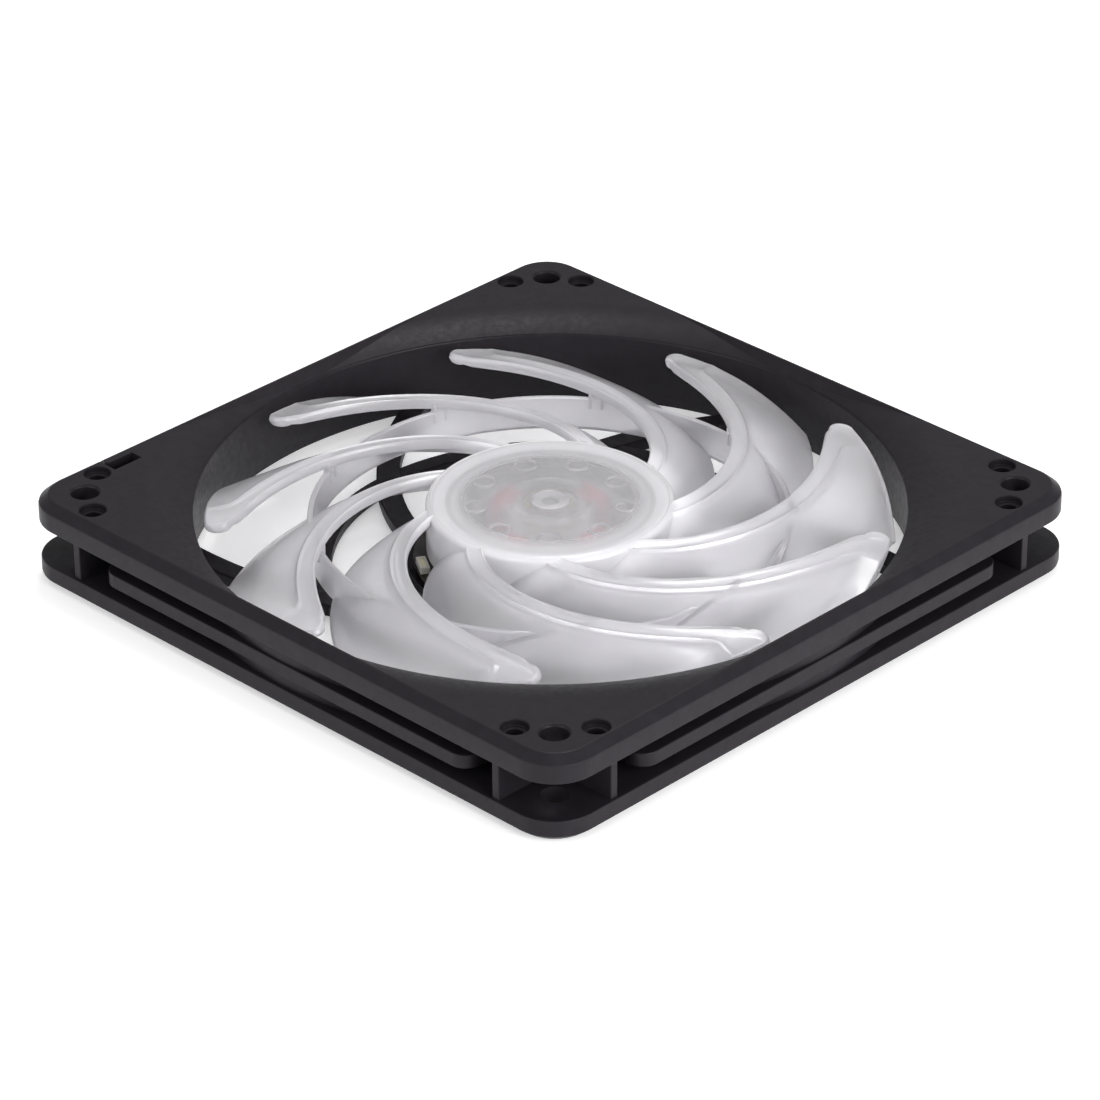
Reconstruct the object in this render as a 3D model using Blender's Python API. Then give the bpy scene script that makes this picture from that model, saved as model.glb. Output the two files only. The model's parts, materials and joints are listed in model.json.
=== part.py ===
"""Slim case fan, 120 x 120 x 15 mm, with a clear nine-blade impeller.

World frame: origin at the centre of the outlet (bottom) face, +Z along the rotor axis towards
the intake.  Lengths below are in millimetres and angles in degrees; MM turns them into metres.
"""
from math import atan, cos, degrees, log, pi, radians, sin, sqrt

import bmesh
import bpy

MM = 0.001
GAP = 0.3                       # air between touching pieces

# Frame moulding
SIDE = 120.0
DEPTH = 15.0
CORNER_R = 7.5
HOLE_PITCH = 105.0
HOLE_R = 2.25
RIM_R = 2.6                     # lead-in chamfer of the mounting holes
DUCT_R = 57.0
DUCT_SIDES = 72
DUCT_WALL_R = 59.3
LIP_Z = 12.8
MOUTH_R = 65.0                  # the bell mouth meets the flat corners here
OUTLET_R = 58.3
OUTLET_Z = 4.4
LOWER_FLANGE = (0.0, 4.1)
RIB = (6.0, 8.4)
UPPER_FLANGE = (10.45, DEPTH)
EDGE_CHAMFER = (1.67, 1.3)      # across, down
RIB_INSET = 0.3
RIB_END = 41.0
RIB_ROUND = 3.0
WEB_AT = 47.0
WEB_T = 1.4
POCKETS = ((55.8, 47.0), (47.2, 55.5))
POCKET_R = (2.2, 1.35)
POCKET_FLOOR = (13.9, 12.4)
CABLE_NOTCH = ((-56.9, -38.6), (-56.9, -43.2), (-57.4, -44.0), (-58.4, -43.6), (-62.0, -43.4),
               (-62.0, -44.3), (-54.5, -44.3), (-54.5, -38.6))

# Motor base and struts
BASE_R = 24.2
BASE = (0.3, 1.8)
BASE_RIM = (23.2, 3.1)          # inner radius, top
SOCKET_R = (4.5, 5.6)           # collar that holds the bearing tube
SOCKET_TOP = 3.7
LABEL_R = 20.0
LABEL_Z = (0.42, 0.66)
LABEL_RECESS_Z = 0.8
STRUT_COUNT = 6
STRUT_W = 3.9
STRUT_Z = (0.5, 2.7)
STRUT_SWEEP = 54.0              # degrees turned per e-fold of radius
FIRST_STRUT = 200.0             # angle of the first strut at radius STRUT_REF_R
STRUT_REF_R = 26.0
WIRE_STRUT_GAP = 66.0           # the strut beside the wire channel stands further off
GUARD_RING = (35.2, 38.6)
GUARD_RING_Z = (0.6, 2.55)

# Bearing and shaft
SHAFT_R = 1.5
SHAFT = (2.75, 12.3)
SHAFT_CHAMFER = 0.3
SLEEVE_R = (1.56, 2.9)
SLEEVE = (2.8, 9.0)
THRUST_PAD = (2.1, 2.5)
WASHER_R = (1.75, 2.9)
WASHER = (9.2, 9.6)
TUBE_R = (3.2, 4.2)
TUBE = (2.1, 9.8)
BUSH_R = (1.6, 2.8)
BUSH = (10.2, 12.3)

# Motor
BOARD = (2.1, 2.9)
BOARD_R = (5.9, 22.1)
CORE = (5.3, 7.7)
CORE_COLLAR = 2.6               # solid width round the bore, where the poles start
POLES = 4
POLE_R = 13.0
POLE_SHOE = (11.2, 36.0)        # inner radius, half angle
POLE_NECK = 1.5                 # half width
FIRST_POLE = 2.0
INSULATOR = (0.2, 0.8)          # distances from the core's face
INSULATOR_SHOE = (11.4, 30.0)
INSULATOR_NECK = 1.7
COIL_R = (7.9, 10.8)
COIL_HOLE = (1.95, 2.25)        # half width, half height
COIL_WALL = (1.6, 1.0)          # beside the pole, above it
COIL_ROUND = (0.5, 0.85)        # corner radii, inside and outside
MAGNET_R = (13.5, 14.7)
MAGNET = (5.0, 10.6)
YOKE_R = (15.0, 15.7)
YOKE = (5.0, 11.6)
LED_COUNT = 6
LED_R = 21.0
FIRST_LED = 238.0
LED_SIZE = (3.8, 1.6, 1.2)
CHIP_LIFT = 0.1                 # solder under a component
BOARD_CHIPS = (("motor_driver_chip", 17.6, 120.0, (3.6, 2.6, 0.9)),
               ("hall_sensor", 17.4, 73.0, (2.4, 1.4, 0.8)),
               ("led_driver_chip", 17.6, 300.0, (3.0, 2.4, 0.8)),
               ("capacitor_1", 17.4, 150.0, (2.0, 1.25, 0.8)),
               ("capacitor_2", 17.4, 270.0, (2.0, 1.25, 0.8)),
               ("resistor_1", 17.4, 200.0, (1.6, 0.8, 0.45)))

# Impeller
HUB_R = 20.0
HUB_TOP = 13.1
HUB_PLATE_Z = 11.9              # underside of the hub's top plate
HUB_SKIRT = (18.7, 4.4)         # inner radius, lower end
HUB_BOSS = (4.4, 10.2)          # outer radius, lower end
BUSH_SEAT = (3.1, 12.6)
YOKE_SEAT = (16.0, 16.9, 5.0)   # radii and lower end of the rib round the yoke
TIP_R = 55.3
BLADES = 9
FIRST_TIP = 73.1                # foremost point of the first blade
NOSE_R = 2.2                    # each leading edge ends in a round nose at the tip
NOSE_AT = TIP_R - NOSE_R
NOSE_FROM = NOSE_AT - 0.9 * NOSE_R
LEAD_SWEEP = 2.33               # degrees of leading edge per millimetre of radius
LEAD_EASE = 1.68                # millimetres over which the sweep sets in behind the nose
TRAIL_SWEEP = (28.8, 1.75, 0.0105)
BLADE_LEAD_Z = (12.2, 12.45)    # at the hub and at the tip, middle of the thickness
TIP_DROOP = (44.0, 0.8)         # from this radius out, the leading edge hangs down, by this much
BLADE_TRAIL_Z = (5.4, 4.6)
BLADE_CURVE = 1.7
BLADE_T = 1.2
RING_R = (38.0, 38.9)
RING_Z = (5.0, 10.9)
POST_TOP = 12.3                 # the ring climbs to each leading edge in a short post
POST_HALF = 1.0
POST_LAG = 1.6                  # degrees behind the leading edge


def make_material(name, colour, roughness, metallic=0.0):
    material = bpy.data.materials.new(name)
    material.use_nodes = True
    shader = material.node_tree.nodes["Principled BSDF"]
    shader.inputs["Base Color"].default_value = (*colour, 1.0)
    shader.inputs["Roughness"].default_value = roughness
    shader.inputs["Metallic"].default_value = metallic
    return material


def make_object(name, bm, material=None, parent=None):
    """Turn a bmesh drawn in millimetres into one object at real size."""
    bmesh.ops.recalc_face_normals(bm, faces=bm.faces)
    bmesh.ops.scale(bm, vec=(MM, MM, MM), verts=bm.verts)
    mesh = bpy.data.meshes.new(name)
    bm.to_mesh(mesh)
    bm.free()
    mesh.shade_smooth()
    mesh.set_sharp_from_angle(angle=radians(35.0))
    obj = bpy.data.objects.new(name, mesh)
    bpy.context.scene.collection.objects.link(obj)
    if material:
        mesh.materials.append(material)
    obj.parent = parent
    return obj


def prism(outline, z0, z1):
    """Closed prism over a plan outline."""
    bm = bmesh.new()
    low = [bm.verts.new((x, y, z0)) for x, y in outline]
    high = [bm.verts.new((x, y, z1)) for x, y in outline]
    count = len(outline)
    for i in range(count):
        j = (i + 1) % count
        bm.faces.new((low[i], low[j], high[j], high[i]))
    bm.faces.new(list(reversed(low)))
    bm.faces.new(high)
    return bm


def lathe(profile, segments=48):
    """Closed solid turned about Z; a profile point at radius 0 becomes a pole."""
    bm = bmesh.new()
    rings = []
    for r, z in profile:
        if r < 1e-6:
            rings.append([bm.verts.new((0.0, 0.0, z))])
            continue
        turns = [2 * pi * i / segments for i in range(segments)]
        rings.append([bm.verts.new((r * cos(a), r * sin(a), z)) for a in turns])
    for a, b in zip(rings, rings[1:] + rings[:1]):
        for i in range(segments):
            j = (i + 1) % segments
            corners = [a[i % len(a)], a[j % len(a)], b[j % len(b)], b[i % len(b)]]
            unique = list(dict.fromkeys(corners))
            if len(unique) > 2:
                bm.faces.new(unique)
    return bm


def tube(r0, r1, z0, z1, segments=48):
    return lathe(((r0, z0), (r1, z0), (r1, z1), (r0, z1)), segments)


def disc(r, z0, z1, segments=48):
    return lathe(((0.0, z0), (r, z0), (r, z1), (0.0, z1)), segments)


def box(x0, x1, y0, y1, z0, z1):
    return prism(((x0, y0), (x1, y0), (x1, y1), (x0, y1)), z0, z1)


def turned(bm, degrees, dx=0.0, dy=0.0):
    """Shift a bmesh in plan, then turn it about Z."""
    a = radians(degrees)
    for v in bm.verts:
        x, y = v.co.x + dx, v.co.y + dy
        v.co.x, v.co.y = x * cos(a) - y * sin(a), x * sin(a) + y * cos(a)
    return bm


def rounded_square(half, radius, steps=5):
    points = []
    for quarter in range(4):
        a0 = quarter * 90.0
        cx = (half - radius) * (1 if quarter in (0, 3) else -1)
        cy = (half - radius) * (1 if quarter in (0, 1) else -1)
        for i in range(steps + 1):
            a = radians(a0 + 90.0 * i / steps)
            points.append((cx + radius * cos(a), cy + radius * sin(a)))
    return points


def loft(loops):
    """Closed solid through stacked loops of equal point counts."""
    bm = bmesh.new()
    rings = [[bm.verts.new(p) for p in loop] for loop in loops]
    count = len(loops[0])
    for low, high in zip(rings, rings[1:]):
        for i in range(count):
            j = (i + 1) % count
            bm.faces.new((low[i], low[j], high[j], high[i]))
    bm.faces.new(list(reversed(rings[0])))
    bm.faces.new(rings[-1])
    return bm


def flange(z0, z1, chamfer_top):
    """Rounded-square plate with its outer top or bottom edge chamfered."""
    across, down = EDGE_CHAMFER
    full = rounded_square(SIDE / 2, CORNER_R)
    small = rounded_square(SIDE / 2 - across, CORNER_R - across)
    if chamfer_top:
        levels = ((full, z0), (full, z1 - down), (small, z1))
    else:
        levels = ((small, z0), (full, z0 + down), (full, z1))
    return loft([[(x, y, z) for x, y in outline] for outline, z in levels])


def helper(name, bm, group):
    """Cutter or building block of a Boolean: never part of the model by itself."""
    obj = make_object(name, bm)
    bpy.context.scene.collection.objects.unlink(obj)
    group.objects.link(obj)
    obj.hide_render = True
    obj.display_type = "WIRE"
    return obj


def group_of(name):
    group = bpy.data.collections.new(name)
    bpy.context.scene.collection.children.link(group)
    return group


def combine(obj, group, operation):
    modifier = obj.modifiers.new(group.name, "BOOLEAN")
    modifier.operation = operation
    modifier.operand_type = "COLLECTION"
    modifier.collection = group
    modifier.solver = "EXACT"


def strut_angles():
    spacing = (360.0 - WIRE_STRUT_GAP) / (STRUT_COUNT - 1)
    return [FIRST_STRUT] + [FIRST_STRUT + WIRE_STRUT_GAP + spacing * k
                            for k in range(STRUT_COUNT - 1)]


def strut(start_angle, r0, r1, steps=7):
    """Swept strut: a band of constant width along a logarithmic spiral."""
    left, right = [], []
    for i in range(steps + 1):
        r = r0 + (r1 - r0) * i / steps
        a = radians(start_angle - STRUT_SWEEP * log(r / STRUT_REF_R))
        heading = a - atan(radians(STRUT_SWEEP))
        x, y = r * cos(a), r * sin(a)
        nx, ny = -sin(heading) * STRUT_W / 2, cos(heading) * STRUT_W / 2
        left.append((x + nx, y + ny))
        right.append((x - nx, y - ny))
    return prism(right + left[::-1], *STRUT_Z)


def build_frame(material):
    body = make_object("frame", flange(*LOWER_FLANGE, False), material)

    walls = group_of("frame_walls")
    helper("upper_flange_block", flange(*UPPER_FLANGE, True), walls)
    helper("duct_block", tube(DUCT_R - 1.5, DUCT_WALL_R, 1.0, DEPTH - 2.5, DUCT_SIDES), walls)
    outer = SIDE / 2 - RIB_INSET
    inner = WEB_AT - WEB_T / 2
    for side in range(4):
        turn = 90.0 * side
        end, bend = RIB_ROUND, RIB_ROUND * 0.3
        rib = [(54.0, -RIB_END), (outer - end, -RIB_END), (outer - bend, -RIB_END + bend),
               (outer, -RIB_END + end), (outer, RIB_END - end),
               (outer - bend, RIB_END - bend), (outer - end, RIB_END), (54.0, RIB_END)]
        helper(f"rib_block_{side}", turned(prism(rib, *RIB), turn), walls)
        reach = SIDE / 2 - 0.5
        for sign in (1, -1):
            y0, y1 = sorted((sign * inner, sign * (inner + WEB_T)))
            web = box(inner + 0.02, reach, y0, y1, LOWER_FLANGE[1] - 1.0, UPPER_FLANGE[0] + 1.0)
            helper(f"web_block_{side}_{sign + 1}", turned(web, turn), walls)
    combine(body, walls, "UNION")

    cuts = group_of("frame_cuts")
    helper("duct_cutter", lathe(((0.0, -1.0), (OUTLET_R + 0.3, -1.0), (DUCT_R, OUTLET_Z),
                                 (DUCT_R, LIP_Z - 0.1), (DUCT_R + 0.3, LIP_Z),
                                 (0.0, LIP_Z + 0.6)), DUCT_SIDES), cuts)
    helper("mouth_cutter", mouth_solid(), cuts)
    half = HOLE_PITCH / 2
    for sx in (1, -1):
        for sy in (1, -1):
            name = f"{sx + 1}{sy + 1}"
            hole = lathe(((0.0, -1.0), (RIM_R + 1.0, -1.0), (RIM_R, 0.0), (HOLE_R, 0.35),
                          (HOLE_R, DEPTH - 0.35), (RIM_R, DEPTH), (RIM_R + 1.0, DEPTH + 1.0),
                          (0.0, DEPTH + 1.0)), 14)
            helper("hole_cutter_" + name, turned(hole, 0.0, sx * half, sy * half), cuts)
            for k, (px, py) in enumerate(POCKETS):
                pocket = lathe(((0.0, POCKET_FLOOR[1]), (POCKET_R[1], POCKET_FLOOR[1]),
                                (POCKET_R[1], POCKET_FLOOR[0]), (POCKET_R[0], POCKET_FLOOR[0]),
                                (POCKET_R[0], DEPTH + 1.0), (0.0, DEPTH + 1.0)), 10)
                helper(f"pocket_cutter_{name}_{k}",
                       turned(pocket, 0.0, sx * px, sy * py), cuts)
    helper("cable_notch_cutter", prism(CABLE_NOTCH, UPPER_FLANGE[0] - 1.0, DEPTH + 1.0), cuts)
    combine(body, cuts, "DIFFERENCE")

    spider = group_of("frame_spider")
    base = ((0.0, LABEL_RECESS_Z), (LABEL_R + 0.4, LABEL_RECESS_Z), (LABEL_R + 0.6, BASE[0]),
            (BASE_R, BASE[0]), (BASE_R, BASE_RIM[1]), BASE_RIM, (BASE_RIM[0], BASE[1]),
            (SOCKET_R[1], BASE[1]), (SOCKET_R[1], SOCKET_TOP), (SOCKET_R[0], SOCKET_TOP),
            (SOCKET_R[0], BASE[1]), (0.0, BASE[1]))
    helper("motor_base_block", lathe(base, 48), spider)
    for k, angle in enumerate(strut_angles()):
        helper(f"strut_block_{k}", strut(angle, BASE_R - 0.3, DUCT_WALL_R - 0.4), spider)
    helper("guard_ring_block", tube(*GUARD_RING, *GUARD_RING_Z, 48), spider)
    combine(body, spider, "UNION")
    return body


def mouth_solid():
    """Space above the bell mouth, stopped near the four sides by steep inner faces."""
    steps = 4
    span = MOUTH_R - DUCT_R
    rise = DEPTH - LIP_Z
    arc = []
    for i in range(steps + 1):
        t = i / steps
        arc.append((DUCT_R + span * t, LIP_Z + rise * (1.0 - (1.0 - t) ** 2)))
    profile = [(0.0, LIP_Z)] + arc + [(MOUTH_R + 3.0, DEPTH + 0.2),
                                      (MOUTH_R + 3.0, DEPTH + 1.0), (0.0, DEPTH + 1.0)]
    bm = lathe(profile, DUCT_SIDES)
    for sx, sy in ((1, 0), (-1, 0), (0, 1), (0, -1)):
        low, high = DUCT_R + 0.15, SIDE / 2 - EDGE_CHAMFER[0] - 0.1
        slope = (high - low) / rise
        geometry = bm.verts[:] + bm.edges[:] + bm.faces[:]
        result = bmesh.ops.bisect_plane(
            bm, geom=geometry, plane_co=(sx * low, sy * low, LIP_Z),
            plane_no=(sx, sy, -slope), clear_outer=True)
        rim = [e for e in result["geom_cut"] if isinstance(e, bmesh.types.BMEdge)]
        bmesh.ops.contextual_create(bm, geom=rim)
    return bm


def lead_angle(r):
    """Leading edge: an even spiral that ends in a half-round nose, whose front is at zero."""
    across = (max(r, NOSE_FROM) - NOSE_AT) / NOSE_R
    nose = degrees(NOSE_R / NOSE_AT) * (sqrt(max(0.0, 1.0 - across * across)) - 1.0)
    inward = max(0.0, NOSE_FROM - r)
    return nose - LEAD_SWEEP * inward * inward / (inward + LEAD_EASE)


def trail_angle(r):
    inward = TIP_R - r
    start, slope, bend = TRAIL_SWEEP
    return -(start + slope * inward + bend * inward * inward)


def blade_point(r, t, tip_angle):
    """Point of the blade's middle surface; t runs from leading to trailing edge."""
    a = radians(tip_angle + lead_angle(r) + (trail_angle(r) - lead_angle(r)) * t)
    s = (r - HUB_R) / (TIP_R - HUB_R)
    droop_from, droop = TIP_DROOP
    lead = (BLADE_LEAD_Z[0] + (BLADE_LEAD_Z[1] - BLADE_LEAD_Z[0]) * s
            - droop * (max(0.0, r - droop_from) / (TIP_R - droop_from)) ** 2)
    trail = BLADE_TRAIL_Z[0] + (BLADE_TRAIL_Z[1] - BLADE_TRAIL_Z[0]) * s
    return r * cos(a), r * sin(a), lead + (trail - lead) * t ** BLADE_CURVE


def blade(tip_angle, spans=5, chords=4):
    """Twisted plate from inside the hub skirt to the tip."""
    bm = bmesh.new()
    root = HUB_R - 0.6
    rows = [root + (NOSE_FROM - root) * i / spans for i in range(spans + 1)]
    rows += [NOSE_AT + NOSE_R * step for step in (-0.5, 0.0, 0.5, 0.85, 1.0)]
    sheets = []
    for side in (1, -1):
        sheet = []
        for r in rows:
            row = []
            for j in range(chords + 1):
                x, y, z = blade_point(r, j / chords, tip_angle)
                row.append(bm.verts.new((x, y, z + side * BLADE_T / 2)))
            sheet.append(row)
        sheets.append(sheet)
    top, bottom = sheets
    last = len(rows) - 1
    for i in range(last):
        for j in range(chords):
            bm.faces.new((top[i][j], top[i][j + 1], top[i + 1][j + 1], top[i + 1][j]))
            bm.faces.new((bottom[i][j], bottom[i + 1][j], bottom[i + 1][j + 1], bottom[i][j + 1]))
    rim = ([(i, 0) for i in range(last)] + [(last, j) for j in range(chords)]
           + [(i, chords) for i in range(last, 0, -1)] + [(0, j) for j in range(chords, 0, -1)])
    for (i, j), (k, m) in zip(rim, rim[1:] + rim[:1]):
        bm.faces.new((top[i][j], top[k][m], bottom[k][m], bottom[i][j]))
    return bm


def build_impeller(material, axis):
    skirt_r, skirt_z = HUB_SKIRT
    boss_r, boss_z = HUB_BOSS
    seat_r, seat_z = BUSH_SEAT
    rib_in, rib_out, rib_z = YOKE_SEAT
    profile = ((0.0, seat_z), (seat_r, seat_z), (seat_r, boss_z), (boss_r, boss_z),
               (boss_r, HUB_PLATE_Z), (rib_in, HUB_PLATE_Z), (rib_in, rib_z), (rib_out, rib_z),
               (rib_out, HUB_PLATE_Z), (skirt_r, HUB_PLATE_Z), (skirt_r, skirt_z),
               (HUB_R, skirt_z), (HUB_R, HUB_TOP - 0.8), (HUB_R - 0.25, HUB_TOP - 0.3),
               (HUB_R - 0.8, HUB_TOP), (0.0, HUB_TOP))
    hub = make_object("impeller", lathe(profile, 54), material, axis)
    group = group_of("impeller_blades")
    for k in range(BLADES):
        helper(f"blade_block_{k}", blade(FIRST_TIP + 360.0 / BLADES * k), group)
        post = box(*RING_R, -POST_HALF, POST_HALF, RING_Z[0] + 1.0, POST_TOP)
        angle = FIRST_TIP + 360.0 / BLADES * k + lead_angle(RING_R[0]) - POST_LAG
        helper(f"post_block_{k}", turned(post, angle), group)
    helper("ring_block", tube(*RING_R, *RING_Z, 54), group)
    combine(hub, group, "UNION")
    return hub


def pole_outline(neck, shoe, r_tip, bore):
    """Plan of the stator: a bored centre with salient poles."""
    r_shoe, half_angle = shoe
    points = []
    for k in range(POLES):
        turn = radians(FIRST_POLE + 360.0 / POLES * k)
        local = [(bore + CORE_COLLAR, -neck), (r_shoe, -neck)]
        for i in range(5):
            b = radians(half_angle * (i / 2 - 1))
            local.append((r_tip * cos(b), r_tip * sin(b)))
        local += [(r_shoe, neck), (bore + CORE_COLLAR, neck)]
        for x, y in local:
            points.append((x * cos(turn) - y * sin(turn), x * sin(turn) + y * cos(turn)))
    return points


def bored(obj, radius):
    group = group_of(obj.name + "_bore")
    helper(obj.name + "_bore_cutter", disc(radius, -1.0, DEPTH + 1.0, 48), group)
    combine(obj, group, "DIFFERENCE")


def build_stator(steel, nylon, copper):
    bore = TUBE_R[1] + GAP
    core = prism(pole_outline(POLE_NECK, POLE_SHOE, POLE_R, bore), *CORE)
    bored(make_object("stator_core", core, steel), bore)
    near, far = INSULATOR
    for name, z0, z1 in (("lower_insulator", CORE[0] - far, CORE[0] - near),
                         ("upper_insulator", CORE[1] + near, CORE[1] + far)):
        plate = prism(pole_outline(INSULATOR_NECK, INSULATOR_SHOE, POLE_R - 0.4, bore), z0, z1)
        bored(make_object(name, plate, nylon), bore)
    for k in range(POLES):
        build_coil(k, copper)


def coil_ring(bm, x, half_y, half_z, corner):
    """Rounded rectangle in the plane across the pole at distance x."""
    middle = (CORE[0] + CORE[1]) / 2
    ring = []
    for quarter in range(4):
        cy = (half_y - corner) * (1 if quarter in (0, 3) else -1)
        cz = (half_z - corner) * (1 if quarter in (0, 1) else -1)
        for i in range(4):
            a = radians(90.0 * quarter + 30.0 * i)
            ring.append(bm.verts.new((x, cy + corner * cos(a), middle + cz + corner * sin(a))))
    return ring


def build_coil(k, copper):
    """Winding round one pole: a rounded rectangular loop."""
    bm = bmesh.new()
    half_y, half_z = COIL_HOLE
    rings = []
    for x in COIL_R:
        rings.append(coil_ring(bm, x, half_y, half_z, COIL_ROUND[0]))
        rings.append(coil_ring(bm, x, half_y + COIL_WALL[0], half_z + COIL_WALL[1],
                               COIL_ROUND[1]))
    inner0, outer0, inner1, outer1 = rings
    for a, b in ((inner0, outer0), (outer0, outer1), (outer1, inner1), (inner1, inner0)):
        for i in range(len(a)):
            j = (i + 1) % len(a)
            bm.faces.new((a[i], a[j], b[j], b[i]))
    make_object(f"coil_{k + 1}", turned(bm, FIRST_POLE + 360.0 / POLES * k), copper)


def chip(name, r, angle, size, material):
    """Component on the board, its long side across the radius."""
    length, width, height = size
    z = BOARD[1] + CHIP_LIFT
    body = box(-length / 2, length / 2, -width / 2, width / 2, z, z + height)
    make_object(name, turned(turned(body, 90.0), angle, r), material)


def build_electronics(board, package, ceramic, led):
    make_object("circuit_board", tube(*BOARD_R, *BOARD), board)
    for name, r, angle, size in BOARD_CHIPS:
        chip(name, r, angle, size, ceramic if name.startswith("capacitor") else package)
    for k in range(LED_COUNT):
        chip(f"led_{k + 1}", LED_R, FIRST_LED + 360.0 / LED_COUNT * k, LED_SIZE, led)


def build_bearing(brass, bronze, nylon):
    make_object("bearing_tube", tube(*TUBE_R, *TUBE, 32), brass)
    make_object("thrust_pad", disc(SLEEVE_R[1], *THRUST_PAD, 24), nylon)
    make_object("sleeve_bearing", tube(*SLEEVE_R, *SLEEVE, 32), bronze)
    make_object("retaining_washer", tube(*WASHER_R, *WASHER, 24), nylon)


def build_rotor(clear, steel, ferrite, nylon, ground_steel):
    """Everything that turns hangs on an empty on the rotor axis."""
    axis = bpy.data.objects.new("rotor_axis", None)
    bpy.context.scene.collection.objects.link(axis)
    build_impeller(clear, axis)
    make_object("rotor_yoke", tube(*YOKE_R, *YOKE), steel, axis)
    make_object("magnet_ring", tube(*MAGNET_R, *MAGNET), ferrite, axis)
    make_object("shaft_bush", tube(*BUSH_R, *BUSH, 24), nylon, axis)
    r, soft = SHAFT_R, SHAFT_CHAMFER
    low, high = SHAFT
    shaft = lathe(((0.0, low), (r - soft, low), (r, low + soft), (r, high - soft),
                   (r - soft, high), (0.0, high)), 32)
    make_object("shaft", shaft, ground_steel, axis)


def main():
    for obj in list(bpy.data.objects):
        bpy.data.objects.remove(obj, do_unlink=True)
    black = make_material("black_moulding", (0.045, 0.042, 0.046), 0.42)
    clear = make_material("frosted_moulding", (0.86, 0.86, 0.89), 0.38)
    steel = make_material("electrical_steel", (0.35, 0.35, 0.36), 0.45, 1.0)
    shaft_steel = make_material("ground_steel", (0.62, 0.63, 0.62), 0.2, 1.0)
    copper = make_material("enamelled_copper", (0.62, 0.16, 0.11), 0.35, 0.9)
    brass = make_material("brass", (0.70, 0.55, 0.28), 0.3, 1.0)
    bronze = make_material("sintered_bronze", (0.52, 0.34, 0.18), 0.55, 1.0)
    nylon = make_material("white_nylon", (0.78, 0.77, 0.73), 0.5)
    ferrite = make_material("ferrite", (0.06, 0.06, 0.065), 0.7)
    board = make_material("board_laminate", (0.03, 0.05, 0.035), 0.45)
    package = make_material("chip_package", (0.03, 0.03, 0.03), 0.5)
    ceramic = make_material("ceramic", (0.45, 0.33, 0.22), 0.5)
    led = make_material("led_package", (0.85, 0.80, 0.62), 0.4)
    paper = make_material("blank_label", (0.62, 0.62, 0.64), 0.55)

    build_frame(black)
    make_object("rear_label", disc(LABEL_R, *LABEL_Z), paper)
    build_bearing(brass, bronze, nylon)
    build_stator(steel, nylon, copper)
    build_electronics(board, package, ceramic, led)
    build_rotor(clear, steel, ferrite, nylon, shaft_steel)


main()
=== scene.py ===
import json
from math import atan, cos, degrees, exp, hypot, log, pi, radians, sin, sqrt

import bmesh
import bpy
from mathutils import Matrix, Vector


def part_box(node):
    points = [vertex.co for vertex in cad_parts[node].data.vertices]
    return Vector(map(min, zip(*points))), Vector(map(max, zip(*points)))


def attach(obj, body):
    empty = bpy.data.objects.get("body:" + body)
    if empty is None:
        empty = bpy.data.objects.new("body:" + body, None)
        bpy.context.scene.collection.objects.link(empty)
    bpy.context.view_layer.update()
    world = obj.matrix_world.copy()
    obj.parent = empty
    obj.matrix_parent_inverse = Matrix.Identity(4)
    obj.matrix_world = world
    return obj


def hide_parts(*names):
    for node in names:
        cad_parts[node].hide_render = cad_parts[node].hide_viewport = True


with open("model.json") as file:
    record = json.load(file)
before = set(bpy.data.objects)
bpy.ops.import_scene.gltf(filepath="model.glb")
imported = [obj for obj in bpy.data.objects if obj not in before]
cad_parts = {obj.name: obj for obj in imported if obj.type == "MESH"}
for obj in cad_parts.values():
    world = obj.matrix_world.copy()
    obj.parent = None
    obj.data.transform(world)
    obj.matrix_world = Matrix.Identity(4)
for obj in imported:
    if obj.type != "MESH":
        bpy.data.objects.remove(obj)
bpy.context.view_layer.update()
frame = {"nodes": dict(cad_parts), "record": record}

MM = 0.001
SCENE = bpy.context.scene


# ---------------------------------------------------------------- frame moulding, dimensions
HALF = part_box("frame")[1].x / MM
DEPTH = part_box("frame")[1].z / MM
CORNER_R = 7.5
EDGE_CHAMFER = (1.67, 1.3)      # across, down
EDGE_ROUND = 0.28
HOLE_AT = HALF - CORNER_R
HOLE_R = 2.25
RIM_R = 2.6                     # lead-in chamfer of the mounting holes
DUCT_R = 57.0
DUCT_WALL = (DUCT_R - 1.5, 59.3)    # radii before the duct is cut
DUCT_WALL_Z = (1.0, DEPTH - 2.5)
LIP_Z = 12.8
LIP_ROUND = (0.45, 0.35)        # radius of the lip over the duct, and its depth below LIP_Z
MOUTH_R = 65.0                  # the bell mouth meets the flat corners here
OUTLET_R = 58.3
OUTLET_Z = 4.4
LOWER_FLANGE = (0.0, 4.1)
RIB = (6.0, 8.4)
UPPER_FLANGE = (10.45, DEPTH)
RIB_INSET = 0.3
RIB_END = 41.0
RIB_ROUND = 3.0
RIB_ROOT = 54.0
WEB_AT = 47.0
WEB_T = 1.4
POCKETS = ((55.8, 47.0), (47.2, 55.5))
POCKET_R = (2.2, 1.35)
POCKET_FLOOR = (13.9, 12.4)
CABLE_NOTCH = ((-56.9, -38.6), (-56.9, -43.2), (-57.4, -44.0), (-58.4, -43.6), (-62.0, -43.4),
               (-62.0, -44.3), (-54.5, -44.3), (-54.5, -38.6))
CLEAR = 1.0                     # cutters and joined blocks run this far past a face

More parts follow.
